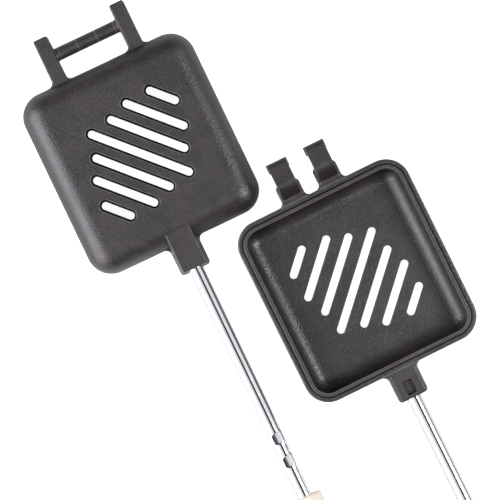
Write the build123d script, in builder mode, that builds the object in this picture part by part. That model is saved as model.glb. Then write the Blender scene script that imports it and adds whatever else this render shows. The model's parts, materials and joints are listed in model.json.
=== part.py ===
from build123d import *
import os
from math import atan2, degrees, radians, tan

# Square sandwich and burger iron for an open fire: two dished iron castings, each on its own long handle.
# The yoke half carries a fork with a round bar, the hook half two claws that reach over that bar.
# The halves lie unhooked, side by side: the hook half on its back, the yoke half on its rim.
# Millimetres. +Z is up from the table, +Y points from the handles to the hinge, and the origin is on the
# table under the middle of the overall box.

# Pans
pan_width = 114.0
pan_length = 120.0
pan_corner = 15.4
half_depth = 22.0
casting_draft = 2.0
outer_round = 14.0
rim_width = 5.6
rim_edge_round = 1.1
floor_thickness = 4.5
cavity_round = 8.6
mouth_round = 0.5

# Tongue round the hook half's cavity, and the rabbet that takes it in the yoke half
tongue_width = 2.4
tongue_height = 1.4
tongue_draft = 15.0
tongue_clearance = 0.3

# Vent slots along the pan's diagonal
slot_width = 4.9
slot_pitch = 12.5
slot_lengths = (21.2, 42.0, 52.5, 68.0, 52.5, 42.0, 21.2)
slot_draft = 13.0
slot_edge_round = 0.4

# Every lug grows from a foot inside the rim, with webs in its inner corners
lug_root = 4.0
lug_foot_margin = 0.5

# Socket for the handle tube: a flange at the rim with a narrower block on it
socket_width = 19.6
socket_reach = 18.6
socket_depth = 20.6
socket_flange = 8.0
socket_root = 14.0
socket_draft = 6.6
socket_corner = 2.4
socket_web = 3.6
socket_edge_round = 0.9
socket_end_wall = 2.4
tube_axis_depth = 11.0

# Drafted pocket in the socket's parting face
pocket_width = 6.3
pocket_length = 9.0
pocket_depth = 3.0
pocket_draft = 14.0
pocket_corner = 1.2
pocket_to_end = 2.4

# Yoke: two arms and the round bar between them
bar_diameter = 8.1
bar_reach = 16.6
bar_depth = 5.5
bar_root_round = 1.2
arm_width = 9.7
arm_gap = 41.6
arm_reach = 30.0
arm_depth = 12.0
arm_web = 3.2
arm_tip_round = 1.4
arm_edge_round = 0.9

# Claws that hook over the bar
claw_width = 12.7
claw_gap = 12.2
claw_draft = 2.2
claw_parting_step = 0.4
claw_clearance = 0.4
claw_wall = 5.6
claw_crown = 5.0
claw_tab = 3.6
claw_tab_width = 15.4
claw_tab_depth = 5.0
claw_lean = 5.3
claw_slope = 2.4
claw_shoulder_round = 5.5
claw_nose_round = 4.0
claw_tip_round = 2.0
claw_tip_drop = 4.2
claw_root_depth = 4.0
claw_gusset = 11.0
claw_web = 3.0
claw_edge_round = 0.6

# Handle: chrome tube, core rod and turned grip
tube_diameter = 9.5
tube_wall = 1.0
tube_fit = 0.05
tube_length = 152.9
tube_in_grip = 12.0
tube_mouth_round = 0.3
crimp_length = 7.5
crimp_ramp = 0.9
crimp_press = 0.85
crimp_pitch = 15.5
crimp_to_grip = 23.5
core_fit = 0.08
core_lead = 10.0
grip_length = 130.0
grip_front_diameter = 21.0
grip_diameter = 21.5
grip_butt_diameter = 19.4
grip_swell = 46.0
grip_front_round = 2.2
grip_butt_round = 5.0
washer_diameter = 14.0
washer_thickness = 1.2
washer_edge_round = 0.4
head_diameter = 10.4
head_height = 2.0
head_round = 1.7

# Where the yoke half lies beside the hook half
yoke_aside = 83.6
yoke_ahead = 127.7
yoke_turn = -0.75

# Each half is drawn in its own frame, on the parting plane at the middle of its pan: x across, y towards
# the hinge and z out of the cavity. The hook half is drawn over the origin and the yoke half beside it.
hook_frame = Plane(origin=(0, 0, half_depth))
yoke_across = Vector(-1, 0, 0).rotate(Axis.Z, yoke_turn)
yoke_frame = Plane(origin=(-yoke_aside, yoke_ahead, 0), x_dir=yoke_across, z_dir=(0, 0, -1))

# Worked out from the sizes above
edge_y = pan_length / 2
cavity_width = pan_width - 2 * rim_width
cavity_length = pan_length - 2 * rim_width
cavity_corner = pan_corner - rim_width
cavity_depth = half_depth - floor_thickness
claw_bore = bar_diameter / 2 + claw_clearance
claw_spacing = claw_gap + claw_width
arm_spacing = arm_gap + arm_width
socket_bore = socket_reach + rim_width - socket_end_wall
tube_radius = tube_diameter / 2
core_radius = tube_radius - tube_wall - core_fit


def out_of(frame):
    """Axis out of the cavity, to sort faces by."""
    return Axis(frame.origin, frame.z_dir)


def hinge_edge(frame):
    """Parting plane with its origin on the hinge edge and y away from the pan."""
    return Plane(frame.from_local_coords((0, edge_y, 0)), x_dir=frame.x_dir, z_dir=frame.z_dir)


def handle_edge(frame):
    """Parting plane with its origin on the handle's edge and y away from the pan."""
    return Plane(frame.from_local_coords((0, -edge_y, 0)), x_dir=-frame.x_dir, z_dir=frame.z_dir)


def side_view(frame):
    """Side view of the hinge: x away from the pan's edge, y out of the cavity."""
    return Plane(hinge_edge(frame).origin, x_dir=frame.y_dir, z_dir=frame.x_dir)


def handle_axis(frame):
    """Plane across the handle at the socket's end: z runs along the handle, y out of the cavity."""
    start = frame.from_local_coords((0, -edge_y - socket_reach, -tube_axis_depth))
    return Plane(start, x_dir=frame.x_dir, z_dir=-frame.y_dir)


def lug_outline(width, reach, web, tip_round):
    """Plan of one lug that stands out of a pan edge lying on y = 0."""
    with BuildSketch() as outline:
        Rectangle(width, reach, align=(Align.CENTER, Align.MIN))
        Rectangle(width + 2 * (web + lug_foot_margin), lug_root, align=(Align.CENTER, Align.MAX))
        on_edge = outline.vertices().group_by(Axis.Y)[1].sort_by(Axis.X)
        fillet(on_edge[1:3], web)
        fillet(outline.vertices().group_by(Axis.Y)[-1], tip_round)
    return outline.sketch


def shell_blank(frame):
    """Solid pan with its pillow-shaped outer face, before the cavity."""
    with BuildPart() as blank:
        with BuildSketch(frame):
            RectangleRounded(pan_width, pan_length, pan_corner)
        extrude(amount=-half_depth, taper=casting_draft)
        fillet(blank.faces().sort_by(out_of(frame))[0].edges(), outer_round)
    return blank.part


def socket_block(frame):
    """Upper block of the socket, growing out of the flange at the flange's own outline."""
    inset = socket_flange * tan(radians(casting_draft))
    with BuildPart() as block:
        with BuildSketch(handle_edge(frame).offset(-socket_flange)) as plan:
            with Locations((0, -socket_root)):
                Rectangle(
                    socket_width - 2 * inset,
                    socket_root + socket_reach - inset,
                    align=(Align.CENTER, Align.MIN),
                )
            fillet(plan.vertices().group_by(Axis.Y)[-1], socket_corner - inset)
        extrude(amount=socket_flange - socket_depth, taper=socket_draft)
        fillet(block.faces().sort_by(out_of(frame))[0].edges(), socket_edge_round)
    return block.part


def cavity_plug(frame, mouth_height):
    """What the cavity takes out of a half, from its mouth down to the floor."""
    with BuildPart() as plug:
        with BuildSketch(frame.offset(mouth_height)):
            RectangleRounded(cavity_width, cavity_length, cavity_corner)
        extrude(amount=-cavity_depth - mouth_height, taper=casting_draft)
        fillet(plug.faces().sort_by(out_of(frame))[0].edges(), cavity_round)
    return plug.part


def slot_row(frame):
    """The row of vent slots as solids, widening from the cavity floor to the outer face."""
    diagonal = degrees(atan2(pan_length, pan_width))
    middle = (len(slot_lengths) - 1) / 2
    with BuildPart() as slots:
        with BuildSketch(frame.offset(-cavity_depth)):
            for place, length in enumerate(slot_lengths):
                across = Vector(0, (place - middle) * slot_pitch).rotate(Axis.Z, diagonal)
                with Locations(across):
                    SlotOverall(length, slot_width, rotation=diagonal)
        extrude(amount=-floor_thickness, taper=-slot_draft)
    return slots.part


def socket_cuts(frame):
    """Blind bore for the tube, and the drafted pocket in the parting face over it."""
    with BuildPart() as cuts:
        with BuildSketch(handle_axis(frame)):
            Circle(tube_radius + tube_fit)
        extrude(amount=-socket_bore)
        with BuildSketch(handle_edge(frame)):
            with Locations((0, socket_reach - pocket_to_end - pocket_length / 2)):
                RectangleRounded(pocket_width, pocket_length, pocket_corner)
        extrude(amount=-pocket_depth, taper=pocket_draft)
    return cuts.part


def claw_pair(frame):
    """Both claws: one side profile drawn through the pair, cut down to two drafted widths."""
    crown = bar_depth + claw_bore + claw_crown
    nose = bar_reach + claw_bore + claw_wall
    with BuildPart() as claws:
        with BuildSketch(side_view(frame)) as profile:
            with BuildLine():
                FilletPolyline(
                    (-lug_root, 0),
                    (claw_tab, 0),
                    (claw_tab + claw_lean, crown),
                    (nose, crown - claw_slope),
                    (nose, bar_depth - claw_tip_drop),
                    (bar_reach + claw_bore, bar_depth - claw_tip_drop),
                    (bar_reach + claw_bore, bar_depth),
                    (bar_reach - claw_bore, bar_depth),
                    (bar_reach - claw_bore, -claw_root_depth),
                    (0, -claw_gusset),
                    (-lug_root, -claw_gusset),
                    radius=(
                        0,
                        claw_tip_round,
                        claw_shoulder_round,
                        claw_nose_round,
                        claw_tip_round,
                        claw_tip_round,
                        0,
                        0,
                        claw_tip_round,
                        claw_web,
                        0,
                    ),
                    close=True,
                )
            make_face()
            with Locations((bar_reach, bar_depth)):
                Circle(claw_bore, mode=Mode.SUBTRACT)
        extrude(amount=claw_spacing, both=True)
        with BuildSketch(Plane(hinge_edge(frame).origin, x_dir=frame.x_dir, z_dir=-frame.y_dir)):
            for side in (-1, 1):
                with Locations((side * claw_spacing / 2, bar_depth)):
                    Rectangle(claw_width + 2 * claw_parting_step, half_depth, align=(Align.CENTER, Align.MAX))
                    Trapezoid(claw_width, crown, 90 - claw_draft, align=(Align.CENTER, Align.MIN))
        extrude(amount=nose, both=True, mode=Mode.INTERSECT)
    return claws.part


def hinge_lugs(frame, spacing, outline, depth, edge_round):
    """Two like lugs at the hinge edge, one each side of the middle, with eased outer edges."""
    with BuildPart() as lugs:
        with BuildSketch(hinge_edge(frame)):
            with Locations((-spacing / 2, 0), (spacing / 2, 0)):
                add(outline)
        extrude(amount=-depth, taper=casting_draft)
        fillet(lugs.faces().group_by(out_of(frame))[0].edges(), edge_round)
    return lugs.part


def half_blank(frame, lugs):
    """Solid pan with its hinge lugs and socket, and one rounded edge all round the parting face."""
    with BuildPart() as half:
        add(shell_blank(frame))
        with BuildSketch(handle_edge(frame)):
            add(lug_outline(socket_width, socket_reach, socket_web, socket_corner))
        extrude(amount=-socket_flange, taper=casting_draft)
        add(lugs)
        parting_face = half.faces().sort_by(out_of(frame))[-1]
        fillet(parting_face.outer_wire().edges(), rim_edge_round)
        add(socket_block(frame))
    return half.part


def ease_slots(half, frame):
    """Small rounding where the slots break the outer face."""
    outer_face = half.faces().sort_by(out_of(frame))[0]
    fillet(outer_face.inner_wires().edges(), slot_edge_round)


claw_tabs = hinge_lugs(
    hook_frame,
    claw_spacing,
    lug_outline(claw_tab_width, bar_reach - claw_bore, claw_web, claw_tip_round),
    claw_tab_depth,
    claw_edge_round,
)
arms = hinge_lugs(
    yoke_frame,
    arm_spacing,
    lug_outline(arm_width, arm_reach, arm_web, arm_tip_round),
    arm_depth,
    arm_edge_round,
)

# Hook half: tongue round the cavity and two claws
with BuildPart() as hook_pan:
    add(half_blank(hook_frame, claw_tabs))
    with BuildSketch(hook_frame):
        RectangleRounded(
            cavity_width + 2 * tongue_width,
            cavity_length + 2 * tongue_width,
            cavity_corner + tongue_width,
        )
    extrude(amount=tongue_height, taper=tongue_draft)
    fillet(hook_pan.faces().sort_by(out_of(hook_frame))[-1].edges(), mouth_round)
    add(claw_pair(hook_frame))
    add(cavity_plug(hook_frame, tongue_height), mode=Mode.SUBTRACT)
    add(slot_row(hook_frame), mode=Mode.SUBTRACT)
    ease_slots(hook_pan, hook_frame)
    add(socket_cuts(hook_frame), mode=Mode.SUBTRACT)

# Yoke half: two arms with the round bar between them, and the rabbet
with BuildPart() as yoke_pan:
    add(half_blank(yoke_frame, arms))
    with BuildSketch(yoke_frame):
        RectangleRounded(
            cavity_width + 2 * (tongue_width + tongue_clearance),
            cavity_length + 2 * (tongue_width + tongue_clearance),
            cavity_corner + tongue_width + tongue_clearance,
        )
    extrude(amount=-tongue_height - tongue_clearance, taper=tongue_draft, mode=Mode.SUBTRACT)
    with BuildSketch(side_view(yoke_frame)):
        with Locations((bar_reach, -bar_depth)):
            Circle(bar_diameter / 2)
    extrude(amount=arm_spacing / 2, both=True)
    bar_middle = side_view(yoke_frame).from_local_coords((bar_reach, -bar_depth, 0))
    bar_face = yoke_pan.faces().filter_by(GeomType.CYLINDER).sort_by_distance(bar_middle)[0]
    fillet(bar_face.edges().filter_by(GeomType.LINE, reverse=True), bar_root_round)
    add(cavity_plug(yoke_frame, 0), mode=Mode.SUBTRACT)
    add(slot_row(yoke_frame), mode=Mode.SUBTRACT)
    ease_slots(yoke_pan, yoke_frame)
    add(socket_cuts(yoke_frame), mode=Mode.SUBTRACT)


def pressed_rod(handle, radius, flat, start, end):
    """Round rod along the handle, pressed to two flats at each crimp."""
    with BuildPart() as rod:
        with BuildSketch(handle.offset(start)):
            Circle(radius)
        extrude(amount=end - start)
        with BuildSketch(Plane(handle.origin, x_dir=handle.z_dir, z_dir=handle.x_dir)):
            for crimp in range(2):
                middle = tube_length - crimp_to_grip - crimp * crimp_pitch
                for side in (-1, 1):
                    with BuildLine():
                        Polyline(
                            (middle - crimp_length / 2, side * 2 * radius),
                            (middle - crimp_length / 2, side * radius),
                            (middle - crimp_length / 2 + crimp_ramp, side * flat),
                            (middle + crimp_length / 2 - crimp_ramp, side * flat),
                            (middle + crimp_length / 2, side * radius),
                            (middle + crimp_length / 2, side * 2 * radius),
                            close=True,
                        )
                    make_face()
        extrude(amount=radius, both=True, mode=Mode.SUBTRACT)
    return rod.part


def chrome_tube(frame):
    """Tube driven into the socket and let into the grip, crimped twice onto the core rod."""
    handle = handle_axis(frame)
    start = -socket_bore
    end = tube_length + tube_in_grip
    bore_radius = tube_radius - tube_wall
    bore = pressed_rod(handle, bore_radius, bore_radius - crimp_press, start, end)
    with BuildPart() as tube:
        add(pressed_rod(handle, tube_radius, tube_radius - crimp_press, start, end))
        add(bore, mode=Mode.SUBTRACT)
        mouth = tube.edges().filter_by(GeomType.CIRCLE).group_by(Axis(handle.origin, handle.z_dir))[-1]
        fillet(mouth.sort_by(SortBy.RADIUS)[-1], tube_mouth_round)
    return tube.part


def core_rod(frame):
    """Steel rod held by the crimps, run through the grip and headed over the washer."""
    handle = handle_axis(frame)
    start = tube_length - crimp_to_grip - crimp_pitch - crimp_length / 2 - core_lead
    seat = tube_length + grip_length + washer_thickness
    rod = pressed_rod(handle, core_radius, core_radius - crimp_press, start, seat)
    with BuildPart() as headed:
        add(rod)
        with BuildSketch(handle.offset(seat)):
            Circle(head_diameter / 2)
        extrude(amount=head_height)
        rings = headed.edges().filter_by(GeomType.CIRCLE).sort_by(Axis(handle.origin, handle.z_dir))
        fillet(rings[-1], head_round)
    return headed.part


def turned_grip(frame):
    """Turned wooden grip, swelling towards the middle, bored for the rod and let in for the tube."""
    handle = handle_axis(frame)
    front = tube_length
    butt = front + grip_length
    with BuildPart() as grip:
        with BuildSketch(Plane(handle.origin, x_dir=handle.z_dir, z_dir=handle.x_dir)):
            with BuildLine():
                Polyline((front, grip_front_diameter / 2), (front, 0), (butt, 0), (butt, grip_butt_diameter / 2))
                ThreePointArc(
                    (front, grip_front_diameter / 2),
                    (front + grip_swell, grip_diameter / 2),
                    (butt, grip_butt_diameter / 2),
                )
            make_face()
        revolve(axis=Axis(handle.origin, handle.z_dir))
        rings = grip.edges().filter_by(GeomType.CIRCLE).sort_by(Axis(handle.origin, handle.z_dir))
        fillet(rings[0], grip_front_round)
        fillet(rings[-1], grip_butt_round)
        with BuildSketch(handle.offset(front)):
            Circle(core_radius + core_fit)
        extrude(amount=grip_length, mode=Mode.SUBTRACT)
        with BuildSketch(handle.offset(front)):
            Circle(tube_radius + tube_fit)
        extrude(amount=tube_in_grip, mode=Mode.SUBTRACT)
    return grip.part


def butt_washer(frame):
    """Washer between the grip's butt and the rod's head."""
    handle = handle_axis(frame)
    with BuildPart() as washer:
        with BuildSketch(handle.offset(tube_length + grip_length)):
            Circle(washer_diameter / 2)
            Circle(core_radius + core_fit, mode=Mode.SUBTRACT)
        extrude(amount=washer_thickness)
        rims = washer.edges().filter_by(GeomType.CIRCLE).group_by(SortBy.RADIUS)[-1]
        fillet(rims.sort_by(Axis(handle.origin, handle.z_dir))[-1], washer_edge_round)
    return washer.part


pieces = {"hook_pan": hook_pan.part, "yoke_pan": yoke_pan.part}
for half, frame in (("hook", hook_frame), ("yoke", yoke_frame)):
    pieces[half + "_handle_tube"] = chrome_tube(frame)
    pieces[half + "_core_rod"] = core_rod(frame)
    pieces[half + "_grip"] = turned_grip(frame)
    pieces[half + "_butt_washer"] = butt_washer(frame)

# The pair is moved so that the origin is under the middle of its overall box
overall = Compound(list(pieces.values())).bounding_box().center()
to_middle = Location((-overall.X, -overall.Y, 0))

os.makedirs("parts", exist_ok=True)
for name, piece in pieces.items():
    placed = piece.moved(to_middle)
    placed.label = name
    export_step(placed, f"parts/{name}.step")
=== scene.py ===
# %% [markdown]
# ## The two halves come in as solids
# A burger iron is two dished iron castings on long handles, which hook together and close over the bread. The
# imported model holds every solid in its place, in metres. They could be modelled again here, but their real
# sizes live in the solids, so this scene loads them and adds only finishes and fine detail.

# %% Load the frame
import json
from math import atan2, cos, pi, radians, sin, tan

import bmesh
import bpy
from mathutils import Euler, Matrix, Vector


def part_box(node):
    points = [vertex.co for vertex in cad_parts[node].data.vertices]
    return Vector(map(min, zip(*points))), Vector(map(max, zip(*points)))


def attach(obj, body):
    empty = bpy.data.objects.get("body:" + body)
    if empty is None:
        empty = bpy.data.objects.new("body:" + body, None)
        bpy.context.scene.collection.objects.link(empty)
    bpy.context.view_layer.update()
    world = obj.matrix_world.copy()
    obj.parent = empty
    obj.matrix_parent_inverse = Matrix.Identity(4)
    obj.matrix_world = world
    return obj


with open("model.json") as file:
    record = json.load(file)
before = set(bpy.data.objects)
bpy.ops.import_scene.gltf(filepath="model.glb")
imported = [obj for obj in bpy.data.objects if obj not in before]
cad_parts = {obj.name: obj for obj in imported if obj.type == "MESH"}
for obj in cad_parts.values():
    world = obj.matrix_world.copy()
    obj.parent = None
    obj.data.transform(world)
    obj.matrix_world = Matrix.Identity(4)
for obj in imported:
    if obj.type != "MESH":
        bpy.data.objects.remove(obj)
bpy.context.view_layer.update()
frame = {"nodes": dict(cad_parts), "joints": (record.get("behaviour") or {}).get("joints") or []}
nodes = frame["nodes"]
MM = 0.001
HALVES = ("hook", "yoke")
print("nodes:", sorted(nodes))

# %% [markdown]
# ## Where each pan lies
# Grain, worn edges and soot belong to a pan, not to the table, so the middle and turn of each pan are needed
# first. The hook half's tube ends a known distance short of its pan's middle. The yoke half lies turned by
# three quarters of a degree, and its bar, which is the hinge, is a known distance past its pan's middle. Typed
# coordinates would do too, but places that are read from the frame stay right if a solid moves.

# %% Middles of the pans
RIM_HEIGHT = 22.0 * MM
TUBE_TO_MIDDLE = 56.8 * MM
BAR_TO_MIDDLE = 76.6 * MM
YOKE_TURN = -0.75

tube_low, tube_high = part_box("hook_handle_tube")
hook_middle = Vector(((tube_low[0] + tube_high[0]) / 2, tube_high[1] + TUBE_TO_MIDDLE, 0.0))
hinge = frame["joints"][0]
yoke_along = Vector((-sin(radians(YOKE_TURN)), cos(radians(YOKE_TURN)), 0))
yoke_middle = Vector(hinge["pos_m"]) - BAR_TO_MIDDLE * yoke_along
yoke_middle.z = 0.0
print("pan middles", hook_middle, yoke_middle)

# %% [markdown]
# ## Camera
# The photograph looks straight down on the castings, and the handles run down to the right, so the camera
# needs no tilt, only a turn about its own axis. It shows hardly any wall of the pans from the side, which
# means a long lens from far away. One pixel covers 0.61 mm at the height of the hook half's rim, and that
# gives the lens once the distance is chosen.

# %% Camera
IMAGE_PIXELS = 500
PIXEL = 0.6058 * MM
CAMERA_TURN = -26.3
CAMERA_HEIGHT = 2.0
SENSOR_WIDTH = 36.0
PICTURE_MIDDLE = hook_middle + Vector((-0.0500, 0.0455, 0.0))

half_view = PIXEL * IMAGE_PIXELS / 2 / (CAMERA_HEIGHT - RIM_HEIGHT)
camera_data = bpy.data.cameras.new("camera")
camera_data.sensor_width = SENSOR_WIDTH
camera_data.lens = SENSOR_WIDTH / 2 / half_view
camera = bpy.data.objects.new("camera", camera_data)
camera.location = PICTURE_MIDDLE + Vector((0, 0, CAMERA_HEIGHT))
camera.rotation_euler = Euler((0, 0, radians(CAMERA_TURN)))
bpy.context.scene.collection.objects.link(camera)
bpy.context.scene.camera = camera
print("lens", round(camera_data.lens, 1), "mm")

# %% [markdown]
# ## Short words for nodes
# Every finish below is a tree of nodes. Each node takes a few lines to add and link, and a finish has dozens,
# so small functions stand for what comes up all the time: add a node, feed a socket, do a sum, split a vector.
# A value can be a plain number or another node's output, which keeps the recipes short. The same functions
# work in a shader tree and in a Geometry Nodes tree.


# %% Add, feed and reckon
def new_node(tree, kind, **settings):
    """Adds a node and sets its attributes."""
    made = tree.nodes.new(kind)
    for name, value in settings.items():
        setattr(made, name, value)
    return made


def feed(tree, socket, value):
    """Links an output to a socket, or sets the socket to a plain value."""
    if isinstance(value, bpy.types.NodeSocket):
        tree.links.new(value, socket)
    else:
        socket.default_value = value


def maths(tree, operation, first, second=0.0, third=0.0):
    """One math node; returns its output."""
    made = new_node(tree, "ShaderNodeMath", operation=operation)
    for socket, value in zip(made.inputs, (first, second, third)):
        feed(tree, socket, value)
    return made.outputs[0]


print("words for nodes: new_node, feed, maths")


# %% Split, combine and stretch
def split(tree, vector):
    """The three parts of a vector, as a list of outputs."""
    made = new_node(tree, "ShaderNodeSeparateXYZ")
    tree.links.new(vector, made.inputs[0])
    return list(made.outputs)


def combine(tree, x=0.0, y=0.0, z=0.0):
    """A vector from three parts."""
    made = new_node(tree, "ShaderNodeCombineXYZ")
    for socket, value in zip(made.inputs, (x, y, z)):
        feed(tree, socket, value)
    return made.outputs[0]


def remap(tree, value, low, high, to_low=0.0, to_high=1.0):
    """Stretches low..high to to_low..to_high, smoothly and clamped."""
    made = new_node(tree, "ShaderNodeMapRange", interpolation_type="SMOOTHSTEP")
    for socket, item in zip(made.inputs, (value, low, high, to_low, to_high)):
        feed(tree, socket, item)
    return made.outputs[0]


print("words for nodes: split, combine, remap")

# %% [markdown]
# ## Floor
# The iron lies on a plain white sheet, which also shows through the vent slots. A white floor could be had
# from brighter lamps, but those would bleach the iron. So the floor is ordinary white paint that takes the
# shadow, and Light Path adds white only for the rays that look straight at it, and a little for those that come
# off the iron and the tubes.


# %% Rays that meet the background
def background_rays(tree):
    """Two masks: rays that look straight at the background, and rays that come off a shiny surface."""
    ray = new_node(tree, "ShaderNodeLightPath")
    seen = maths(tree, "MAXIMUM", ray.outputs["Is Camera Ray"], ray.outputs["Is Transmission Ray"])
    return seen, ray.outputs["Is Glossy Ray"]


print("background rays: camera, transmission and glossy")

# %% Floor paint
FLOOR_PAINT = 0.80
FLOOR_SHINE = 0.92
FLOOR_GLOSS = 0.05

floor_paint = bpy.data.materials.new("floor_paint")
floor_paint.use_nodes = True
tree = floor_paint.node_tree
tree.nodes.clear()
paint = new_node(tree, "ShaderNodeBsdfDiffuse")
paint.inputs["Color"].default_value = (FLOOR_PAINT, FLOOR_PAINT, FLOOR_PAINT, 1)
seen, glossy = background_rays(tree)
shine = new_node(tree, "ShaderNodeEmission")
seen = maths(tree, "MULTIPLY", seen, FLOOR_SHINE)
feed(tree, shine.inputs["Strength"], maths(tree, "MULTIPLY_ADD", glossy, FLOOR_GLOSS, seen))
both = new_node(tree, "ShaderNodeAddShader")
tree.links.new(paint.outputs[0], both.inputs[0])
tree.links.new(shine.outputs[0], both.inputs[1])
tree.links.new(both.outputs[0], new_node(tree, "ShaderNodeOutputMaterial").inputs[0])
print("material", floor_paint.name)

# %% Floor sheet
FLOOR_SIZE = 6.0
FLOOR_DROP = 0.2 * MM

half = FLOOR_SIZE / 2
floor_corners = [(-half, -half, 0), (half, -half, 0), (half, half, 0), (-half, half, 0)]
floor_mesh = bpy.data.meshes.new("floor")
floor_mesh.from_pydata(floor_corners, [], [(0, 1, 2, 3)])
floor_mesh.materials.append(floor_paint)
floor = bpy.data.objects.new("floor", floor_mesh)
floor.location = (0, 0, -FLOOR_DROP)
bpy.context.scene.collection.objects.link(floor)
print("floor", FLOOR_SIZE, "m square")

# %% [markdown]
# ## World
# Iron with oil on it and plated tubes show mostly what stands round them, so the world is built like a small
# studio. The camera sees plain white, and matt surfaces such as the wood get a low, even fill. Shiny ones see
# white on both sides and dark ends along the handles, with a narrow bright strip low in each dark end so that
# the tubes still shine from the side. A dark gap a little right of straight up and a dark edge far down on the
# right draw the two thin dark lines that the tubes show in the photograph. A lamp for each of these would need
# many trials, and here each is one range of direction.

# %% World
WORLD_FILL = 0.38
WORLD_WHITE = 1.0
END_SHADE = 0.05
END_START, END_FULL = 0.25, 0.75
STRIP_RISE = 0.30
STRIP_CORE, STRIP_EDGE = 0.03, 0.06
GAP_SHADE = 0.05
GAP_FROM, GAP_TO = (-0.05, 0.02), (0.40, 0.50)
FAR_RIGHT = (1.24, 1.40)

world = bpy.data.worlds.new("studio")
bpy.context.scene.world = world
world.use_nodes = True
tree = world.node_tree
tree.nodes.clear()
across, along, upward = split(tree, new_node(tree, "ShaderNodeTexCoord").outputs["Generated"])
off_strip = maths(tree, "ABSOLUTE", maths(tree, "SUBTRACT", upward, STRIP_RISE))
strip = remap(tree, off_strip, STRIP_CORE, STRIP_EDGE, WORLD_WHITE, END_SHADE)
ends = remap(tree, maths(tree, "ABSOLUTE", along), END_START, END_FULL, WORLD_WHITE, strip)
lean = maths(tree, "ARCTAN2", across, upward)
gap = maths(tree, "MULTIPLY", remap(tree, lean, *GAP_FROM), remap(tree, lean, *GAP_TO, 1.0, 0.0))
dark = maths(tree, "MAXIMUM", gap, remap(tree, lean, *FAR_RIGHT))
mirrored = maths(tree, "MULTIPLY", ends, remap(tree, dark, 0.0, 1.0, 1.0, GAP_SHADE))
print("studio: ends", END_SHADE, "gap", GAP_SHADE)

# %% World strength
seen, glossy = background_rays(tree)
matt = maths(tree, "SUBTRACT", 1.0, glossy)
level = maths(tree, "MULTIPLY_ADD", matt, WORLD_FILL, maths(tree, "MULTIPLY", glossy, mirrored))
sky = new_node(tree, "ShaderNodeBackground")
feed(tree, sky.inputs["Strength"], maths(tree, "MAXIMUM", level, seen))
tree.links.new(sky.outputs[0], new_node(tree, "ShaderNodeOutputWorld").inputs[0])
print("world fill", WORLD_FILL)

# %% [markdown]
# ## Lamps
# The castings' left slopes carry a long bright band and their right slopes a short bright spot, and slopes that
# face along the handles stay dark. So the light comes from both sides of the handles and not from their ends:
# one wide soft lamp on the left, and one small bright lamp on the right. Each lamp's level is its brightness,
# so its size can be changed to soften an edge without making the iron brighter.


# %% Lamps
def soft_lamp(name, azimuth, lean, distance, width, length, level):
    """Lamp at an azimuth in the picture, lean degrees off straight up, at a plain brightness level."""
    lamp_data = bpy.data.lights.new(name, "AREA")
    lamp_data.shape = "RECTANGLE"
    lamp_data.size = width
    lamp_data.size_y = length
    lamp_data.energy = level * pi * width * length
    lamp = bpy.data.objects.new(name, lamp_data)
    turn = Euler((0, radians(lean), radians(azimuth + CAMERA_TURN)))
    lamp.location = PICTURE_MIDDLE + turn.to_matrix() @ Vector((0, 0, distance))
    lamp.rotation_euler = turn
    bpy.context.scene.collection.objects.link(lamp)
    return lamp


left_lamp = soft_lamp("left_lamp", azimuth=200, lean=57, distance=1.2, width=0.95, length=2.0, level=3.5)
right_lamp = soft_lamp("right_lamp", azimuth=-4, lean=45, distance=1.2, width=0.38, length=0.42, level=16.0)
print("lamps", left_lamp.name, right_lamp.name)

# %% [markdown]
# ## Sand-cast skin
# Cast iron keeps the grain of the sand that it was poured in: a fine pebbled skin with a few bright specks,
# under a thin baked coat of oil that is glossier in some places than in others. A picture of real iron could
# be wrapped round the pans, but noise has no seam and no edge, and fits any shape. Both castings and the lips
# of their slots have this skin, so it is one group, which puts out a height for the bump and three masks.


# %% Noise
def noise(tree, place, scale, detail=2.0, roughness=0.5, distortion=0.0):
    """Noise at a scale in cells per metre; returns its value."""
    made = new_node(tree, "ShaderNodeTexNoise")
    feed(tree, made.inputs["Vector"], place)
    feed(tree, made.inputs["Scale"], scale)
    feed(tree, made.inputs["Detail"], detail)
    feed(tree, made.inputs["Roughness"], roughness)
    feed(tree, made.inputs["Distortion"], distortion)
    return made.outputs[0]


print("word for textures: noise")


# %% A new shader group
def new_group(name, inputs, outputs):
    """A shader node group with named sockets; returns the tree and its two ends."""
    tree = bpy.data.node_groups.new(name, "ShaderNodeTree")
    for label, kind, value in inputs:
        socket = tree.interface.new_socket(name=label, in_out="INPUT", socket_type=kind)
        if value is not None:
            socket.default_value = value
    for label, kind in outputs:
        tree.interface.new_socket(name=label, in_out="OUTPUT", socket_type=kind)
    return tree, tree.nodes.new("NodeGroupInput"), tree.nodes.new("NodeGroupOutput")


print("word for groups: new_group")

# %% Cast skin group
GRAIN_SCALE = 1250.0
SPECK_SCALE = 1500.0
MOTTLE_SCALE = 45.0
PEBBLE_SIZE = 2.0
PEBBLE_HEIGHT = 1.3

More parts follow.
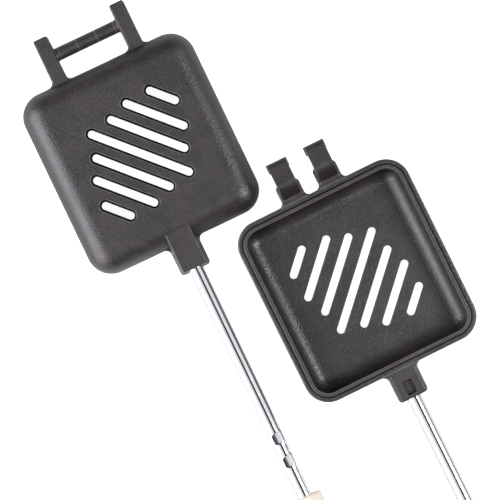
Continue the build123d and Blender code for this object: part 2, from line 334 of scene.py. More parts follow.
cast_skin, ends_in, ends_out = new_group(
    "cast_skin",
    [
        ("Place", "NodeSocketVector", None),
        ("Grain", "NodeSocketFloat", GRAIN_SCALE),
        ("Speck", "NodeSocketFloat", SPECK_SCALE),
        ("Mottle", "NodeSocketFloat", MOTTLE_SCALE),
    ],
    [(label, "NodeSocketFloat") for label in ("Height", "Grain", "Specks", "Mottle")],
)
place = ends_in.outputs["Place"]
grain = noise(cast_skin, place, ends_in.outputs["Grain"], roughness=0.65)
pebbles = noise(cast_skin, place, maths(cast_skin, "DIVIDE", ends_in.outputs["Grain"], PEBBLE_SIZE))
specks = noise(cast_skin, place, ends_in.outputs["Speck"], detail=1.0)
mottle = noise(cast_skin, place, ends_in.outputs["Mottle"], detail=4.0, roughness=0.6, distortion=0.5)
feed(cast_skin, ends_out.inputs["Height"], maths(cast_skin, "MULTIPLY_ADD", pebbles, PEBBLE_HEIGHT, grain))
feed(cast_skin, ends_out.inputs["Grain"], remap(cast_skin, grain, 0.36, 0.64))
feed(cast_skin, ends_out.inputs["Specks"], remap(cast_skin, specks, 0.62, 0.70))
feed(cast_skin, ends_out.inputs["Mottle"], remap(cast_skin, mottle, 0.38, 0.62))
print("group", cast_skin.name, len(cast_skin.nodes), "nodes")

# %% [markdown]
# ## Marks that follow the pan
# Some marks follow the rounded square of a pan. The corner at the foot of the tongue, the raised edge round the
# hook half's cavity, gets a band of painted shade, and the edges of the rim get painted highlights, brighter
# than the rest. They could be painted by hand, but each is only a thin line at one distance inside the outline.
# So a group turns a place on the pan into that distance, and each mark is a narrow band of it.

# %% Rounded square group
PAN_SIZE = Vector((0.1140, 0.1200))
PAN_CORNER = 15.4 * MM

square_edge, ends_in, ends_out = new_group(
    "square_edge",
    [("Place", "NodeSocketVector", None)],
    [("Inside", "NodeSocketFloat")],
)
squares = []
for part, size in zip(split(square_edge, ends_in.outputs["Place"]), PAN_SIZE):
    past = maths(square_edge, "SUBTRACT", maths(square_edge, "ABSOLUTE", part), size / 2 - PAN_CORNER)
    past = maths(square_edge, "MAXIMUM", past, 0.0)
    squares.append(maths(square_edge, "MULTIPLY", past, past))
radius = maths(square_edge, "SQRT", maths(square_edge, "ADD", *squares))
feed(square_edge, ends_out.inputs["Inside"], maths(square_edge, "SUBTRACT", PAN_CORNER, radius))
print("group", square_edge.name)


# %% Bands on a pan
def place_group(tree, group, **values):
    """Places a group in a material and sets or links its inputs by name."""
    made = new_node(tree, "ShaderNodeGroup", node_tree=group)
    for label, value in values.items():
        feed(tree, made.inputs[label], value)
    return made


def centre_on_pan(tree, place, middle, turn):
    """Object coordinates, moved and turned so that 0 is the pan's middle and Y is its middle line."""
    shift = new_node(tree, "ShaderNodeMapping", vector_type="TEXTURE")
    shift.inputs["Location"].default_value = middle
    shift.inputs["Rotation"].default_value = (0, 0, radians(turn))
    tree.links.new(place, shift.inputs["Vector"])
    return shift.outputs[0]


def band(tree, value, middle, width):
    """1 in the middle of a band, falling to 0 at half its width away."""
    off = maths(tree, "ABSOLUTE", maths(tree, "SUBTRACT", value, middle))
    return remap(tree, off, width / 4, width / 2, 1.0, 0.0)


print("words for marks: place_group, centre_on_pan, band")

# %% Marks along the rim
TONGUE_FOOT = 3.2 * MM
# Width of the band of painted shade at the tongue's foot.
FOOT_SHADE_BAND = 1.1 * MM
RIM_BAND = 4.6 * MM
# Lines of painted highlight along the rim: distance inside the outline, width and strength.
RIM_HIGHLIGHTS = {
    "outer edge": (0.4 * MM, 1.0 * MM, 1.0),
    "cavity mouth": (5.4 * MM, 0.9 * MM, 1.0),
    "tongue crest": (4.0 * MM, 0.8 * MM, 0.6),
}


def rim_painted_light(tree, place, on_pan, rim_height):
    """Two masks at the height of the rim: painted shade at the tongue's foot, and painted highlight lines."""
    inside = place_group(tree, square_edge, Place=on_pan).outputs["Inside"]
    on_rim = band(tree, split(tree, place)[2], rim_height, RIM_BAND)
    # Painted shade in the corner at the tongue's foot, on the rim only.
    painted_corner_shade = maths(tree, "MULTIPLY", band(tree, inside, TONGUE_FOOT, FOOT_SHADE_BAND), on_rim)
    # Painted highlights along the rim's edges.
    lines = 0.0
    for distance, width, strength in RIM_HIGHLIGHTS.values():
        line = maths(tree, "MULTIPLY", band(tree, inside, distance, width), strength)
        lines = maths(tree, "MAXIMUM", lines, line)
    return painted_corner_shade, maths(tree, "MULTIPLY", lines, on_rim)


print("rim lines:", ", ".join(RIM_HIGHLIGHTS))

# %% Marks on claws and socket
# Painted highlights along the long edges of claws and socket.
LUG_HIGHLIGHT = 1.1 * MM
CLAW_EDGES = (6.4 * MM, 18.6 * MM)
CLAW_START = 62.5 * MM
SOCKET_EDGES = (7.8 * MM, 9.4 * MM)
SOCKET_START = -61.5 * MM


def lug_edge_highlights(tree, on_pan):
    """Mask of painted highlights on the long edges of claws and socket, which lie at fixed distances from the
    middle line.
    """
    aside, along_pan, _ = split(tree, on_pan)
    aside = maths(tree, "ABSOLUTE", aside)
    lugs = ((CLAW_EDGES, "GREATER_THAN", CLAW_START), (SOCKET_EDGES, "LESS_THAN", SOCKET_START))
    masks = []
    for edges, test, start in lugs:
        lines = maths(tree, "MAXIMUM", *[band(tree, aside, edge, LUG_HIGHLIGHT) for edge in edges])
        masks.append(maths(tree, "MULTIPLY", lines, maths(tree, test, along_pan, start)))
    return maths(tree, "MAXIMUM", *masks)


print("lug edges at", CLAW_EDGES, SOCKET_EDGES, "m from the middle line")

# %% [markdown]
# ## Seasoned cast iron
# The castings are black-brown iron under baked oil, and nearly all the light that they send back is gloss. So
# the base colour is almost black, the gloss is strong and only half rough, and the bump of the skin breaks it
# up into grain. A lighter base colour with a weak gloss would look like grey paint. The yoke half is a shade
# lighter in the photograph, so a function takes the two colours and makes one material for each casting.


# %% Colours and bump
def blend_colours(tree, factor, first, second):
    """Mixes two colours; returns the result."""
    made = new_node(tree, "ShaderNodeMix", data_type="RGBA")
    feed(tree, made.inputs[0], factor)
    feed(tree, made.inputs[6], first)
    feed(tree, made.inputs[7], second)
    return made.outputs[2]


def bump(tree, height, strength, distance):
    """Bump from a height; returns its normal."""
    made = new_node(tree, "ShaderNodeBump")
    feed(tree, made.inputs["Strength"], strength)
    feed(tree, made.inputs["Distance"], distance)
    feed(tree, made.inputs["Height"], height)
    return made.outputs["Normal"]


print("words for finishes: blend_colours, bump")


# %% A new material
def new_material(name):
    """A material with a Principled shader; returns the material, its tree, shader and Object coordinates."""
    material = bpy.data.materials.new(name)
    material.use_nodes = True
    tree = material.node_tree
    tree.nodes.clear()
    shader = new_node(tree, "ShaderNodeBsdfPrincipled")
    tree.links.new(shader.outputs[0], new_node(tree, "ShaderNodeOutputMaterial").inputs[0])
    return material, tree, shader, new_node(tree, "ShaderNodeTexCoord").outputs["Object"]


print("word for materials: new_material")

# %% Colour of the iron
# Near-black of the painted shade at the tongue's foot.
CORNER_SHADE = (0.002, 0.0018, 0.002, 1)
# Lighter iron of the painted edge highlights.
HIGHLIGHT_IRON = (0.135, 0.125, 0.135, 1)
WORN_GAIN = 5.0
GRAIN_SHOW, SPECK_SHOW, HIGHLIGHT_SHOW = 0.30, 0.7, 0.8
# How evenly the painted edge highlights show, and how much the grain breaks them up.
HIGHLIGHT_EVEN, HIGHLIGHT_GRAIN = 0.4, 0.6


def iron_colour(tree, skin, dark, brown, painted_corner_shade, edge_highlights):
    """Mottled black-brown with worn grain and specks, painted shade at the tongue's foot over it, and painted
    edge highlights last.
    """
    colour = blend_colours(tree, skin["Mottle"], dark, brown)
    worn = tuple(WORN_GAIN * part for part in brown[:3]) + (1,)
    lit = maths(tree, "MULTIPLY", skin["Grain"], GRAIN_SHOW)
    lit = maths(tree, "MULTIPLY_ADD", skin["Specks"], SPECK_SHOW, lit)
    colour = blend_colours(tree, lit, colour, worn)
    # Painted shade at the tongue's foot.
    colour = blend_colours(tree, painted_corner_shade, colour, CORNER_SHADE)
    # Painted highlights on the edges, broken up by the grain.
    broken = maths(tree, "MULTIPLY_ADD", skin["Grain"], HIGHLIGHT_GRAIN, HIGHLIGHT_EVEN)
    edge_highlights = maths(tree, "MULTIPLY", edge_highlights, broken)
    return blend_colours(tree, maths(tree, "MULTIPLY", edge_highlights, HIGHLIGHT_SHOW), colour, HIGHLIGHT_IRON)


# Prints the colours of the painted shade at the tongue's foot and of the painted edge highlights.
print("burnt oil", CORNER_SHADE[:3], "rubbed iron", HIGHLIGHT_IRON[:3])

# %% Gloss of the iron
POOLED_ROUGH, DRY_ROUGH = 0.35, 0.42
# Specks are glossier, and the band of painted shade at the tongue's foot is rougher.
SPECK_ROUGH, CORNER_SHADE_ROUGH = -0.12, 0.4


def iron_roughness(tree, skin, painted_corner_shade):
    """Glossier where oil pooled and on specks, dull in the band of painted shade at the tongue's foot."""
    rough = remap(tree, skin["Mottle"], 0.0, 1.0, POOLED_ROUGH, DRY_ROUGH)
    rough = maths(tree, "MULTIPLY_ADD", skin["Specks"], SPECK_ROUGH, rough)
    return maths(tree, "MULTIPLY_ADD", painted_corner_shade, CORNER_SHADE_ROUGH, rough)


print("roughness", POOLED_ROUGH, "to", DRY_ROUGH)

# %% Cast iron
SKIN_BUMP = 0.7
SKIN_DEPTH = 0.22 * MM
OIL_TINT = (0.97, 0.94, 1.0, 1)


def cast_iron(name, dark, brown, middle, turn, rim_height):
    """Seasoned cast iron of one pan, whose middle and turn place the marks that follow it."""
    material, tree, shader, place = new_material(name)
    on_pan = centre_on_pan(tree, place, middle, turn)
    skin = place_group(tree, cast_skin, Place=on_pan).outputs
    # Painted shade at the tongue's foot, and painted highlights along rim, claw and socket edges.
    painted_corner_shade, rim_highlights = rim_painted_light(tree, place, on_pan, rim_height)
    edge_highlights = maths(tree, "MAXIMUM", rim_highlights, lug_edge_highlights(tree, on_pan))
    feed(tree, shader.inputs["Base Color"], iron_colour(tree, skin, dark, brown, painted_corner_shade, edge_highlights))
    feed(tree, shader.inputs["Roughness"], iron_roughness(tree, skin, painted_corner_shade))
    feed(tree, shader.inputs["Normal"], bump(tree, skin["Height"], SKIN_BUMP, SKIN_DEPTH))
    shader.inputs["Specular IOR Level"].default_value = 1.0
    shader.inputs["Specular Tint"].default_value = OIL_TINT
    return material


print("skin is at most", SKIN_DEPTH / MM, "mm deep")

# %% Three iron materials
HOOK_COLOURS = ((0.0080, 0.0068, 0.0082, 1), (0.0115, 0.0088, 0.0100, 1))
YOKE_COLOURS = ((0.0090, 0.0078, 0.0094, 1), (0.0125, 0.0098, 0.0114, 1))
# The lips are a lighter iron: a painted highlight along the slots' edges.
LIP_HIGHLIGHT_COLOURS = ((0.050, 0.045, 0.050, 1), (0.070, 0.062, 0.068, 1))
iron = {
    "hook": cast_iron("hook_casting", *HOOK_COLOURS, hook_middle, 0.0, RIM_HEIGHT),
    "yoke": cast_iron("yoke_casting", *YOKE_COLOURS, yoke_middle, YOKE_TURN, 0.0),
}
lip_highlight_iron = cast_iron("lip_highlight_casting", *LIP_HIGHLIGHT_COLOURS, yoke_middle, YOKE_TURN, 0.0)
print("iron materials", [material.name for material in iron.values()], lip_highlight_iron.name)

# %% [markdown]
# ## Bright tube and steel
# The handle tubes are plated and polished, so they mirror the studio. A perfect mirror looks like glass or
# water: the real one has fine lines along the handle, left by drawing and polishing, and slow smudges. The same
# marks, with their own depth, are on the steel rods and washers, so they are a group. Noise squeezed along the
# handle gives the lines without any modelling.

# %% Drawn line group
LINE_SCALE = 2600.0
LINE_STRETCH = 0.03
SMUDGE_SCALE = 90.0

drawn_lines, ends_in, ends_out = new_group(
    "drawn_lines",
    [
        ("Place", "NodeSocketVector", None),
        ("Fine", "NodeSocketFloat", LINE_SCALE),
        ("Along", "NodeSocketFloat", LINE_STRETCH),
    ],
    [("Height", "NodeSocketFloat"), ("Wear", "NodeSocketFloat")],
)
place = ends_in.outputs["Place"]
stretch = new_node(drawn_lines, "ShaderNodeVectorMath", operation="MULTIPLY")
feed(drawn_lines, stretch.inputs[0], place)
feed(drawn_lines, stretch.inputs[1], combine(drawn_lines, 1.0, ends_in.outputs["Along"], 1.0))
lines = noise(drawn_lines, stretch.outputs[0], ends_in.outputs["Fine"])
smudge = noise(drawn_lines, place, SMUDGE_SCALE, detail=3.0)
feed(drawn_lines, ends_out.inputs["Height"], lines)
feed(drawn_lines, ends_out.inputs["Wear"], remap(drawn_lines, smudge, 0.45, 0.75))
print("group", drawn_lines.name)

# %% [markdown]
# ## Crimps
# Two crimps near each grip pinch the tube on to its rod. The solid tube has them as flats. The real flats are
# also slightly hollow across the handle, which an outline hardly shows, but a mirror does: each flat shows a
# dark edge and a pale middle. So a second bump, whose height grows with the square of the distance from the
# middle line, tilts the normals there, and the plating is a little rougher where it was pressed.

# %% Crimp mask
CRIMPS = (-208.0 * MM, -192.5 * MM)
CRIMP_BAND = 10.2 * MM


def crimp_mask(tree, along_pan, crimps):
    """Mask of the crimps, whose middles are given along the pan's middle line."""
    pressed = 0.0
    for crimp in crimps:
        pressed = maths(tree, "MAXIMUM", pressed, band(tree, along_pan, crimp, CRIMP_BAND))
    return pressed


print("crimps at", CRIMPS, "m along the middle line")

# %% Bright metal
CRIMP_ROUGH = 0.10
DENT = 30.0
LINE_BUMP = 0.25


def bright_metal(name, colour, rough, wear, depth, middle, turn, crimps):
    """Metal with drawn lines; each crimp is a shallow hollow across the handle, rougher than the rest."""
    material, tree, shader, place = new_material(name)
    on_pan = centre_on_pan(tree, place, middle, turn)
    marks = place_group(tree, drawn_lines, Place=on_pan).outputs
    aside, along_pan, _ = split(tree, on_pan)
    pressed = crimp_mask(tree, along_pan, crimps)
    shader.inputs["Base Color"].default_value = colour
    shader.inputs["Metallic"].default_value = 1.0
    worn = maths(tree, "MULTIPLY_ADD", marks["Wear"], wear, rough)
    feed(tree, shader.inputs["Roughness"], maths(tree, "MULTIPLY_ADD", pressed, CRIMP_ROUGH, worn))
    hollow = maths(tree, "MULTIPLY", maths(tree, "MULTIPLY", aside, aside), DENT)
    deep = new_node(tree, "ShaderNodeBump")
    deep.inputs["Distance"].default_value = 1.0
    feed(tree, deep.inputs["Height"], maths(tree, "MULTIPLY", hollow, pressed))
    feed(tree, deep.inputs["Normal"], bump(tree, marks["Height"], LINE_BUMP, depth))
    feed(tree, shader.inputs["Normal"], deep.outputs["Normal"])
    return material


print("hollow of a crimp: height is", DENT, "times the distance squared")

# %% Plating and steel
PLATING_COLOUR = (0.88, 0.91, 0.95, 1)
PLATING_FINISH = {"rough": 0.07, "wear": 0.06, "depth": 0.004 * MM}
STEEL_COLOUR = (0.62, 0.62, 0.63, 1)
STEEL_FINISH = {"rough": 0.26, "wear": 0.12, "depth": 0.01 * MM}


def plating(name, middle, turn):
    """Plating of one handle tube."""
    return bright_metal(name, PLATING_COLOUR, **PLATING_FINISH, middle=middle, turn=turn, crimps=CRIMPS)


chrome = {
    "hook": plating("hook_plating", hook_middle, 0.0),
    "yoke": plating("yoke_plating", yoke_middle, YOKE_TURN),
}
steel = bright_metal("zinc_steel", STEEL_COLOUR, **STEEL_FINISH, middle=hook_middle, turn=0.0, crimps=())
print("metals", [material.name for material in chrome.values()], steel.name)

# %% [markdown]
# ## Turned birch
# The grips are pale turned wood: long faint fibres along the handle, slow honey-coloured bands, and short brown
# pores. Real rings could be cut through by the turned shape, but on wood this pale and even they hardly show.
# Noise squeezed to a twentieth along the grain reads as wood from every side, and each grip has its own
# shift so that the two don't match.

# %% Colours and scales of the wood
PALE_WOOD = (1.0, 0.92, 0.82, 1)
HONEY_WOOD = (0.97, 0.86, 0.73, 1)
FIBRE_COLOUR = (0.90, 0.77, 0.62, 1)
PORE_COLOUR = (0.55, 0.38, 0.23, 1)
FIBRE_SCALE, BAND_SCALE, PORE_SCALE = 1600.0, 210.0, 2400.0
FIBRE_SHOW, PORE_SHOW = 0.22, 0.4
WOOD_STRETCH = 0.05
WOOD_ROUGH = (0.46, 0.58)
WOOD_BUMP, WOOD_DEPTH = 0.3, 0.03 * MM
print("wood from", PALE_WOOD[:3], "to", HONEY_WOOD[:3])


# %% Birch
def birch(name, shift):
    """Bare turned birch with its grain along Y."""
    material, tree, shader, place = new_material(name)
    squeeze = new_node(tree, "ShaderNodeMapping")
    squeeze.inputs["Location"].default_value = (shift, shift, 0)
    squeeze.inputs["Scale"].default_value = (1, WOOD_STRETCH, 1)
    tree.links.new(place, squeeze.inputs["Vector"])
    grain_place = squeeze.outputs[0]
    fibres = noise(tree, grain_place, FIBRE_SCALE, detail=3.0, roughness=0.6)
    bands = noise(tree, grain_place, BAND_SCALE, distortion=0.6)
    pores = remap(tree, noise(tree, grain_place, PORE_SCALE, detail=1.0), 0.66, 0.74)
    colour = blend_colours(tree, remap(tree, bands, 0.35, 0.65), PALE_WOOD, HONEY_WOOD)
    colour = blend_colours(tree, maths(tree, "MULTIPLY", fibres, FIBRE_SHOW), colour, FIBRE_COLOUR)
    colour = blend_colours(tree, maths(tree, "MULTIPLY", pores, PORE_SHOW), colour, PORE_COLOUR)
    feed(tree, shader.inputs["Base Color"], colour)
    feed(tree, shader.inputs["Roughness"], remap(tree, fibres, 0.3, 0.7, *WOOD_ROUGH))
    relief = maths(tree, "SUBTRACT", fibres, pores)
    feed(tree, shader.inputs["Normal"], bump(tree, relief, WOOD_BUMP, WOOD_DEPTH))
    return material


wood = {"hook": birch("hook_birch", 0.21), "yoke": birch("yoke_birch", 0.83)}
print("woods", [material.name for material in wood.values()])

# %% [markdown]
# ## Dress the solids
# Each half is five solids: casting, tube, rod, washer and grip. Their shapes are right as they are, so they
# keep their meshes and only get a material. One loop does both halves, because they are named alike.


# %% Dress the solids
def dress(node, material):
    """Gives a solid one material."""
    mesh = nodes[node].data
    mesh.materials.clear()
    mesh.materials.append(material)


for half_name in HALVES:
    dress(half_name + "_pan", iron[half_name])
    dress(half_name + "_handle_tube", chrome[half_name])
    dress(half_name + "_core_rod", steel)
    dress(half_name + "_butt_washer", steel)
    dress(half_name + "_grip", wood[half_name])
print("dressed", len(nodes), "nodes")

# %% [markdown]
# ## Outline of one vent slot
# Each casting has a row of seven slots that let the steam out. Casting left a fine raised lip round each slot,
# in a lighter iron that paints the highlight along its edge, and a black skin on the slot's walls paints the
# shade there.
# Both follow the slot's outline, so the outline comes first, as a Geometry Nodes group with the slot's length
# and width as inputs. It is a circle whose two halves are pushed apart: fewer nodes than two arcs and two
# lines, and it is closed by nature.


# %% A new geometry group
def new_geometry(name, inputs):
    """A geometry node group with named sockets; returns the tree and its two ends."""
    tree = bpy.data.node_groups.new(name, "GeometryNodeTree")
    for label, kind, value in inputs:
        socket = tree.interface.new_socket(name=label, in_out="INPUT", socket_type=kind)
        if value is not None:
            socket.default_value = value
    tree.interface.new_socket(name="Geometry", in_out="OUTPUT", socket_type="NodeSocketGeometry")
    return tree, tree.nodes.new("NodeGroupInput"), tree.nodes.new("NodeGroupOutput")


print("word for geometry: new_geometry")

# %% Slot outline group
SLOT_WIDTH = 4.9 * MM
OUTLINE_POINTS = 40
HAIR = 0.01 * MM

slot_outline, ends_in, ends_out = new_geometry(
    "slot_outline",
    [("Length", "NodeSocketFloat", 42.0 * MM), ("Width", "NodeSocketFloat", SLOT_WIDTH)],
)
ring = new_node(slot_outline, "GeometryNodeCurvePrimitiveCircle")
ring.inputs["Resolution"].default_value = OUTLINE_POINTS
feed(slot_outline, ring.inputs["Radius"], maths(slot_outline, "MULTIPLY", ends_in.outputs["Width"], 0.5))
across = split(slot_outline, new_node(slot_outline, "GeometryNodeInputPosition").outputs[0])[0]
side = maths(slot_outline, "SIGN", maths(slot_outline, "SNAP", across, HAIR))
straight = maths(slot_outline, "SUBTRACT", ends_in.outputs["Length"], ends_in.outputs["Width"])
push = maths(slot_outline, "MULTIPLY", side, maths(slot_outline, "MULTIPLY", straight, 0.5))
pull_apart = new_node(slot_outline, "GeometryNodeSetPosition")
feed(slot_outline, pull_apart.inputs["Geometry"], ring.outputs["Curve"])
feed(slot_outline, pull_apart.inputs["Offset"], combine(slot_outline, push))
feed(slot_outline, ends_out.inputs["Geometry"], pull_apart.outputs[0])
print("group", slot_outline.name)

# %% [markdown]
# ## The row of slots
# The slots get shorter towards both ends of the row, stand one pitch apart, and the whole row lies along the
# pan's diagonal. Seven sweeps typed one by one would be hard to keep alike, so a tree sweeps one profile round
# each outline, sets it a pitch further on, joins them and turns the row. The lip and the black skin of painted
# shade have different profiles, so the tree is built by a function that takes the profile.


# %% Sweep a profile
def four_corners(tree, points):
    """A closed profile of four points."""
    profile = new_node(tree, "GeometryNodeCurvePrimitiveQuadrilateral", mode="POINTS")
    for corner, point in enumerate(points, 1):
        profile.inputs[f"Point {corner}"].default_value = (point[0], point[1], 0)
    return profile.outputs["Curve"]


def sweep_round(tree, outline, profile):
    """Sweeps a profile round a flat outline: x goes outwards and y downwards."""
    upright = new_node(tree, "GeometryNodeSetCurveNormal", mode="Z_UP")
    feed(tree, upright.inputs["Curve"], outline)
    sweep = new_node(tree, "GeometryNodeCurveToMesh")
    feed(tree, sweep.inputs["Curve"], upright.outputs[0])
    feed(tree, sweep.inputs["Profile Curve"], profile)
    return sweep.outputs[0]


print("words for sweeps: four_corners, sweep_round")


# %% End a tree
def end_tree(tree, geometry, material, ends_out):
    """Ends a tree with real geometry in one material."""
    real = new_node(tree, "GeometryNodeRealizeInstances")
    feed(tree, real.inputs[0], geometry)
    painted = new_node(tree, "GeometryNodeSetMaterial")
    feed(tree, painted.inputs["Geometry"], real.outputs[0])
    feed(tree, painted.inputs["Material"], material)
    feed(tree, ends_out.inputs["Geometry"], painted.outputs[0])


print("word for trees: end_tree")

# %% One slot of the row
SLOT_PITCH = 12.5 * MM
SLOT_LENGTHS = [length * MM for length in (21.2, 42.0, 52.5, 68.0, 52.5, 42.0, 21.2)]


def one_slot(tree, ends_in, profile, length, steps):
    """A profile swept round one slot, and set some steps of the pitch from the middle of the row."""
    outline = new_node(tree, "GeometryNodeGroup", node_tree=slot_outline)
    outline.inputs["Length"].default_value = length
    feed(tree, outline.inputs["Width"], ends_in.outputs["Width"])
    move = new_node(tree, "GeometryNodeTransform")
    feed(tree, move.inputs["Geometry"], sweep_round(tree, outline.outputs[0], profile))
    shift = combine(tree, y=maths(tree, "MULTIPLY", ends_in.outputs["Pitch"], steps))
    feed(tree, move.inputs["Translation"], shift)
    return move.outputs[0]


print("slots", len(SLOT_LENGTHS), "pitch", SLOT_PITCH, "m")


# %% Slot row tree
def slot_row_tree(name, profile_points):
    """A tree that sweeps a four-cornered profile round every slot of the row."""
    inputs = [
        ("Pitch", "NodeSocketFloat", SLOT_PITCH),
        ("Width", "NodeSocketFloat", SLOT_WIDTH),
        ("Diagonal", "NodeSocketFloat", 0.0),
        ("Material", "NodeSocketMaterial", None),
    ]
    tree, ends_in, ends_out = new_geometry(name, inputs)
    profile = four_corners(tree, profile_points)
    row = new_node(tree, "GeometryNodeJoinGeometry")
    for place, length in enumerate(SLOT_LENGTHS):
        steps = place - (len(SLOT_LENGTHS) - 1) / 2
        feed(tree, row.inputs[0], one_slot(tree, ends_in, profile, length, steps))
    slant = new_node(tree, "GeometryNodeTransform")
    feed(tree, slant.inputs["Geometry"], row.outputs[0])
    feed(tree, slant.inputs["Rotation"], combine(tree, z=ends_in.outputs["Diagonal"]))
    end_tree(tree, slant.outputs[0], ends_in.outputs["Material"], ends_out)
    return tree


print("longest slot", max(SLOT_LENGTHS), "m")

# %% [markdown]
# ## Profiles of painted shade and lip
# The slots widen outwards by 13 degrees, the draft that lets a pattern leave the sand. The painted shade is a
# black skin a twentieth of a millimetre thick on that slope, with its back just inside the iron, so the two
# never fight for the same surface. Black paint on the wall alone stayed grey, because iron gloss at a flat
# angle mirrors the white floor, and a skin of its own can be truly dull. The lip is a low bead with its root in
# the iron. The cavity faces up on the hook half, so its lip is on the cavity's floor, and on the yoke half it
# is outside.

# %% Profile of a lip
LIP_HEIGHT = 0.12 * MM
LIP_WIDTH = 0.36 * MM
LIP_ASIDE = 0.50 * MM


def lip_profile(across, depth, outward):
    """Low four-cornered bead on a face, with its root sunk into the metal."""
    half_width = LIP_WIDTH / 2
    return (
        (across - half_width, depth),
        (across, depth + outward * LIP_HEIGHT),
        (across + half_width, depth),
        (across, depth - outward * LIP_HEIGHT),
    )


print("lip", LIP_WIDTH, "m wide")

# %% Painted shade and lip rows
SLOT_DRAFT = 13.0
FLOOR_THICKNESS = 4.5 * MM
# Thickness of the black skin of painted shade on the slot walls.
LINER_SKIN = 0.05 * MM
SUNK = 0.03 * MM
LINER_SHORT = 0.3 * MM

slope = tan(radians(SLOT_DRAFT))
liner_depth = FLOOR_THICKNESS - LINER_SHORT
liner_mouth = liner_depth * slope
# Profile of the black skin of painted shade on the slot wall.
liner_profile = ((SUNK, 0), (liner_mouth + SUNK, liner_depth), (liner_mouth - LINER_SKIN, liner_depth), (-LINER_SKIN, 0))
shade_liner_tree = slot_row_tree("vent_shade_row", liner_profile)
inner_lip = lip_profile(LIP_WIDTH / 2 + LINER_SKIN, 0, -1)
outer_lip = lip_profile(FLOOR_THICKNESS * slope + LIP_ASIDE, FLOOR_THICKNESS, 1)
lip_trees = {
    "hook": slot_row_tree("floor_lip_row", inner_lip),
    "yoke": slot_row_tree("mouth_lip_row", outer_lip),
}
print("slot mouth is wider by", round(2 * FLOOR_THICKNESS * slope / MM, 2), "mm")

# %% [markdown]
# ## Painted shade at the tongue's foot
# The raised tongue round the hook half's cavity meets the flat of the rim in a sharp inner corner, which shows
# as a black line of shade all the way round; a black bead paints that shade. A bead that follows a rounded
# square is a second path for the same sweep, so it is another small tree: a rectangle, its corners filleted,
# and a four-cornered profile that fills the inner corner.

# %% Tongue foot tree
FOOT_SIZE = PAN_SIZE - 2 * Vector((TONGUE_FOOT, TONGUE_FOOT))
FOOT_CORNER = PAN_CORNER - TONGUE_FOOT
FOOT_ARC_POINTS = 16
FOOT_BEAD = ((-0.20 * MM, 0.20 * MM), (0.60 * MM, 0.10 * MM), (0.30 * MM, -0.15 * MM), (-0.10 * MM, -0.50 * MM))

foot_tree, ends_in, ends_out = new_geometry(
    "tongue_foot",
    [
        ("Width", "NodeSocketFloat", FOOT_SIZE.x),
        ("Length", "NodeSocketFloat", FOOT_SIZE.y),
        ("Corner", "NodeSocketFloat", FOOT_CORNER),
        ("Material", "NodeSocketMaterial", None),
    ],
)
square = new_node(foot_tree, "GeometryNodeCurvePrimitiveQuadrilateral")
feed(foot_tree, square.inputs["Width"], ends_in.outputs["Width"])
feed(foot_tree, square.inputs["Height"], ends_in.outputs["Length"])
corners = new_node(foot_tree, "GeometryNodeFilletCurve", mode="POLY")
corners.inputs["Count"].default_value = FOOT_ARC_POINTS
feed(foot_tree, corners.inputs["Curve"], square.outputs["Curve"])
feed(foot_tree, corners.inputs["Radius"], ends_in.outputs["Corner"])
bead = sweep_round(foot_tree, corners.outputs[0], four_corners(foot_tree, FOOT_BEAD))
end_tree(foot_tree, bead, ends_in.outputs["Material"], ends_out)
print("tree", foot_tree.name, round(FOOT_SIZE.x / MM, 1), "by", round(FOOT_SIZE.y / MM, 1), "mm")

# %% [markdown]
# ## Painted shade
# The black of the painted shade takes in nearly all light and has no gloss to speak of. A black with the iron's
# gloss would still mirror the floor, so the shader's own gloss is turned down to a tenth, and small noise keeps
# it from being flat.

# %% Painted shade
# Black and dark grey of the painted shade, mixed by noise.
SHADE_BLACK = (0.0015, 0.0014, 0.0015, 1)
SHADE_GREY = (0.005, 0.0045, 0.005, 1)
SHADE_NOISE_SCALE = 1500.0
SHADE_ROUGH = (0.9, 1.0)
SHADE_BUMP, SHADE_DEPTH = 0.5, 0.08 * MM

# Material of the painted shade on the slot walls and at the tongue's foot.
painted_shade, tree, shader, place = new_material("painted_shade")
shade_noise = noise(tree, place, SHADE_NOISE_SCALE)
feed(tree, shader.inputs["Base Color"], blend_colours(tree, shade_noise, SHADE_BLACK, SHADE_GREY))
feed(tree, shader.inputs["Roughness"], remap(tree, shade_noise, 0.3, 0.7, *SHADE_ROUGH))
feed(tree, shader.inputs["Normal"], bump(tree, shade_noise, SHADE_BUMP, SHADE_DEPTH))
shader.inputs["Specular IOR Level"].default_value = 0.1
print("material", painted_shade.name)

# %% [markdown]
# ## From trees to pieces
# A tree only gives a shape while its modifier is live, and plain meshes are wanted here. So each tree runs on
# an empty seed object, its result is copied into a mesh, and the seed is thrown away with its modifier. The
# mesh is made about the pan's own middle, and a matrix then carries it to the pan. The yoke half lies on its
# rim, with its cavity down, so its matrix also turns the piece over.


# %% Measure a mesh
def measure(mesh):
    """Lowest and highest corner of a mesh, in millimetres."""
    spans = list(zip(*[vertex.co for vertex in mesh.vertices]))
    return [round(min(span) / MM, 2) for span in spans], [round(max(span) / MM, 2) for span in spans]


print("word for checks: measure")


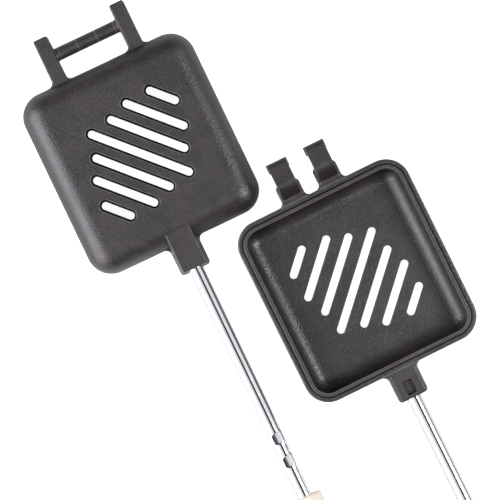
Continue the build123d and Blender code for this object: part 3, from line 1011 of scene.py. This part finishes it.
# %% Run a tree
def run_tree(name, tree, values):
    """Runs a geometry tree on an empty seed and returns its result as a plain mesh."""
    seed = bpy.data.objects.new(name + "_seed", bpy.data.meshes.new(name + "_seed"))
    bpy.context.scene.collection.objects.link(seed)
    modifier = seed.modifiers.new(name, "NODES")
    modifier.node_group = tree
    for item in tree.interface.items_tree:
        if item.in_out == "INPUT" and item.name in values:
            modifier[item.identifier] = values[item.name]
    bpy.context.view_layer.update()
    evaluated = seed.evaluated_get(bpy.context.evaluated_depsgraph_get())
    mesh = bpy.data.meshes.new_from_object(evaluated)
    bpy.data.objects.remove(seed)
    mesh.name = name
    return mesh


print("word for seeds: run_tree")


# %% Grow a piece
def grow(name, tree, values, matrix):
    """Makes a piece from a geometry tree, carries it to its pan and turns its faces outwards."""
    mesh = run_tree(name, tree, values)
    mesh.transform(matrix)
    shell = bmesh.new()
    shell.from_mesh(mesh)
    bmesh.ops.recalc_face_normals(shell, faces=shell.faces)
    shell.to_mesh(mesh)
    shell.free()
    grown = bpy.data.objects.new(name, mesh)
    bpy.context.scene.collection.objects.link(grown)
    print(name, len(mesh.polygons), "faces, mm", *measure(mesh))
    return grown


print("word for pieces: grow")

# %% Grow painted shade and lips
CAVITY_DEPTH = 17.5 * MM
PAN_DIAGONAL = atan2(PAN_SIZE.y, PAN_SIZE.x)

yoke_over = Euler((0, radians(180), radians(YOKE_TURN))).to_matrix().to_4x4()
pan_place = {
    "hook": Matrix.Translation(hook_middle + Vector((0, 0, RIM_HEIGHT))),
    "yoke": Matrix.Translation(yoke_middle) @ yoke_over,
}
to_cavity_floor = Matrix.Translation((0, 0, -CAVITY_DEPTH))
# Black bead of painted shade in the corner at the tongue's foot.
foot_shade_bead = grow("hook_tongue_shade", foot_tree, {"Material": painted_shade}, pan_place["hook"])
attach(foot_shade_bead, "hook_half")
for half_name in HALVES:
    matrix = pan_place[half_name] @ to_cavity_floor
    shade_values = {"Diagonal": PAN_DIAGONAL, "Material": painted_shade}
    lip_values = {"Diagonal": PAN_DIAGONAL, "Material": lip_highlight_iron}
    # Black skin of painted shade on the slot walls.
    shade_liner = grow(half_name + "_painted_shade", shade_liner_tree, shade_values, matrix)
    lips = grow(half_name + "_vent_lips", lip_trees[half_name], lip_values, matrix)
    for piece in (shade_liner, lips):
        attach(piece, half_name + "_half")
# The black skins and the bead are painted shade, and the lips carry a painted highlight.
print("soot and lips ride on both halves")

# %% [markdown]
# ## Finish
# The view transform stays plain, so that a colour shows as it is written.

# %% Finish
bpy.context.scene.view_settings.view_transform = "Standard"
